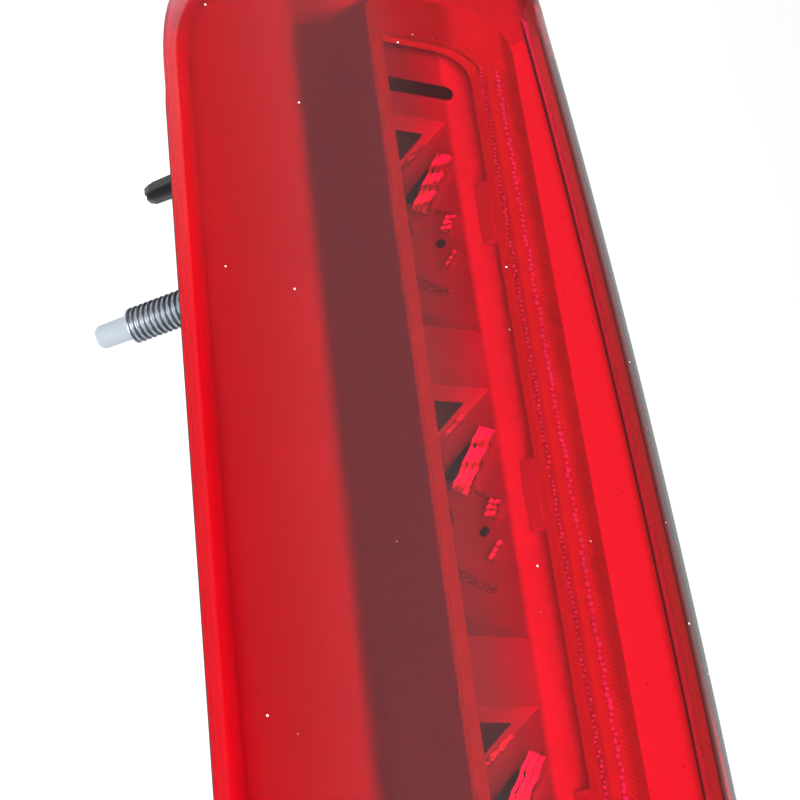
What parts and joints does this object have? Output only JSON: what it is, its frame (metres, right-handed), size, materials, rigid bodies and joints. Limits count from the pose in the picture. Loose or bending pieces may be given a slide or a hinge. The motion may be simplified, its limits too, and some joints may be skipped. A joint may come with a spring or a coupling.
{
  "type": "third brake light",
  "caption": "Long wedge-shaped red brake light with reflector cells, wedge bulbs in twist-lock holders, and threaded mounting studs.",
  "frame": {"origin": "midway between the two studs on the mounting face, at the face of the central rest pad", "axes": "+X along the lamp, +Y from its thin edge to its thick edge, +Z away from the vehicle; the studs point along -Z"},
  "size_m": [0.324, 0.0643, 0.0793],
  "materials": {
    "red_lens": "transparent red acrylic, polished, frosted behind the thin side",
    "black_plastic": "moulded ABS",
    "pale_plastic": "moulded",
    "reflector_metallised": "vacuum metallised plastic",
    "weld_plastic": "hot plate weld bead",
    "seal_rubber": "moulded rubber",
    "gasket_foam": "closed cell foam",
    "zinc_steel": "bright zinc plate",
    "bulb_glass": "clear glass",
    "filament_metal": "drawn wire",
    "holder_plastic": "moulded nylon",
    "contact_brass": "stamped strip",
    "clip_plastic": "moulded"
  },
  "bodies": {
    "lamp": {"lens": "red_lens", "housing": "black_plastic", "inner_shelf": "pale_plastic", "reflector": "reflector_metallised", "reflector_clip_1": "clip_plastic", "reflector_clip_2": "clip_plastic", "reflector_clip_3": "clip_plastic", "reflector_clip_4": "clip_plastic", "reflector_clip_5": "clip_plastic", "lens_weld_bead": "weld_plastic", "rim_seal": "seal_rubber", "foam_gasket": "gasket_foam", "mounting_stud_left": "zinc_steel", "mounting_stud_right": "zinc_steel", "busbar_live": "contact_brass", "busbar_ground": "contact_brass", "connector_socket": "black_plastic", "connector_pin_live": "contact_brass", "connector_pin_ground": "contact_brass", "vent_cap": "black_plastic"},
    "holder_1": {"bulb_holder_1": "holder_plastic", "holder_seal_1": "seal_rubber", "holder_contact_live_1": "contact_brass", "holder_contact_ground_1": "contact_brass"},
    "bulb_1": {"bulb_glass_1": "bulb_glass", "bulb_filament_1": "filament_metal"},
    "holder_2": {"bulb_holder_2": "holder_plastic", "holder_seal_2": "seal_rubber", "holder_contact_live_2": "contact_brass", "holder_contact_ground_2": "contact_brass"},
    "bulb_2": {"bulb_glass_2": "bulb_glass", "bulb_filament_2": "filament_metal"},
    "holder_3": {"bulb_holder_3": "holder_plastic", "holder_seal_3": "seal_rubber", "holder_contact_live_3": "contact_brass", "holder_contact_ground_3": "contact_brass"},
    "bulb_3": {"bulb_glass_3": "bulb_glass", "bulb_filament_3": "filament_metal"},
    "holder_4": {"bulb_holder_4": "holder_plastic", "holder_seal_4": "seal_rubber", "holder_contact_live_4": "contact_brass", "holder_contact_ground_4": "contact_brass"},
    "bulb_4": {"bulb_glass_4": "bulb_glass", "bulb_filament_4": "filament_metal"},
    "holder_5": {"bulb_holder_5": "holder_plastic", "holder_seal_5": "seal_rubber", "holder_contact_live_5": "contact_brass", "holder_contact_ground_5": "contact_brass"},
    "bulb_5": {"bulb_glass_5": "bulb_glass", "bulb_filament_5": "filament_metal"}
  },
  "joints": [
    {"name": "holder_1_twist", "type": "hinge", "parent": "lamp", "child": "holder_1", "pos_m": [-0.104, 0.0146, 0], "axis": [0, 0, 1], "range_deg": [0, 45]},
    {"name": "bulb_1_pull", "type": "slide", "parent": "holder_1", "child": "bulb_1", "axis": [0, 0, 1], "range_m": [0, 0.006]},
    {"name": "holder_2_twist", "type": "hinge", "parent": "lamp", "child": "holder_2", "pos_m": [-0.052, 0.0146, 0], "axis": [0, 0, 1], "range_deg": [0, 45]},
    {"name": "bulb_2_pull", "type": "slide", "parent": "holder_2", "child": "bulb_2", "axis": [0, 0, 1], "range_m": [0, 0.006]},
    {"name": "holder_3_twist", "type": "hinge", "parent": "lamp", "child": "holder_3", "pos_m": [0, 0.0146, 0], "axis": [0, 0, 1], "range_deg": [0, 45]},
    {"name": "bulb_3_pull", "type": "slide", "parent": "holder_3", "child": "bulb_3", "axis": [0, 0, 1], "range_m": [0, 0.006]},
    {"name": "holder_4_twist", "type": "hinge", "parent": "lamp", "child": "holder_4", "pos_m": [0.052, 0.0146, 0], "axis": [0, 0, 1], "range_deg": [0, 45]},
    {"name": "bulb_4_pull", "type": "slide", "parent": "holder_4", "child": "bulb_4", "axis": [0, 0, 1], "range_m": [0, 0.006]},
    {"name": "holder_5_twist", "type": "hinge", "parent": "lamp", "child": "holder_5", "pos_m": [0.104, 0.0146, 0], "axis": [0, 0, 1], "range_deg": [0, 45]},
    {"name": "bulb_5_pull", "type": "slide", "parent": "holder_5", "child": "bulb_5", "axis": [0, 0, 1], "range_m": [0, 0.006]}
  ]
}
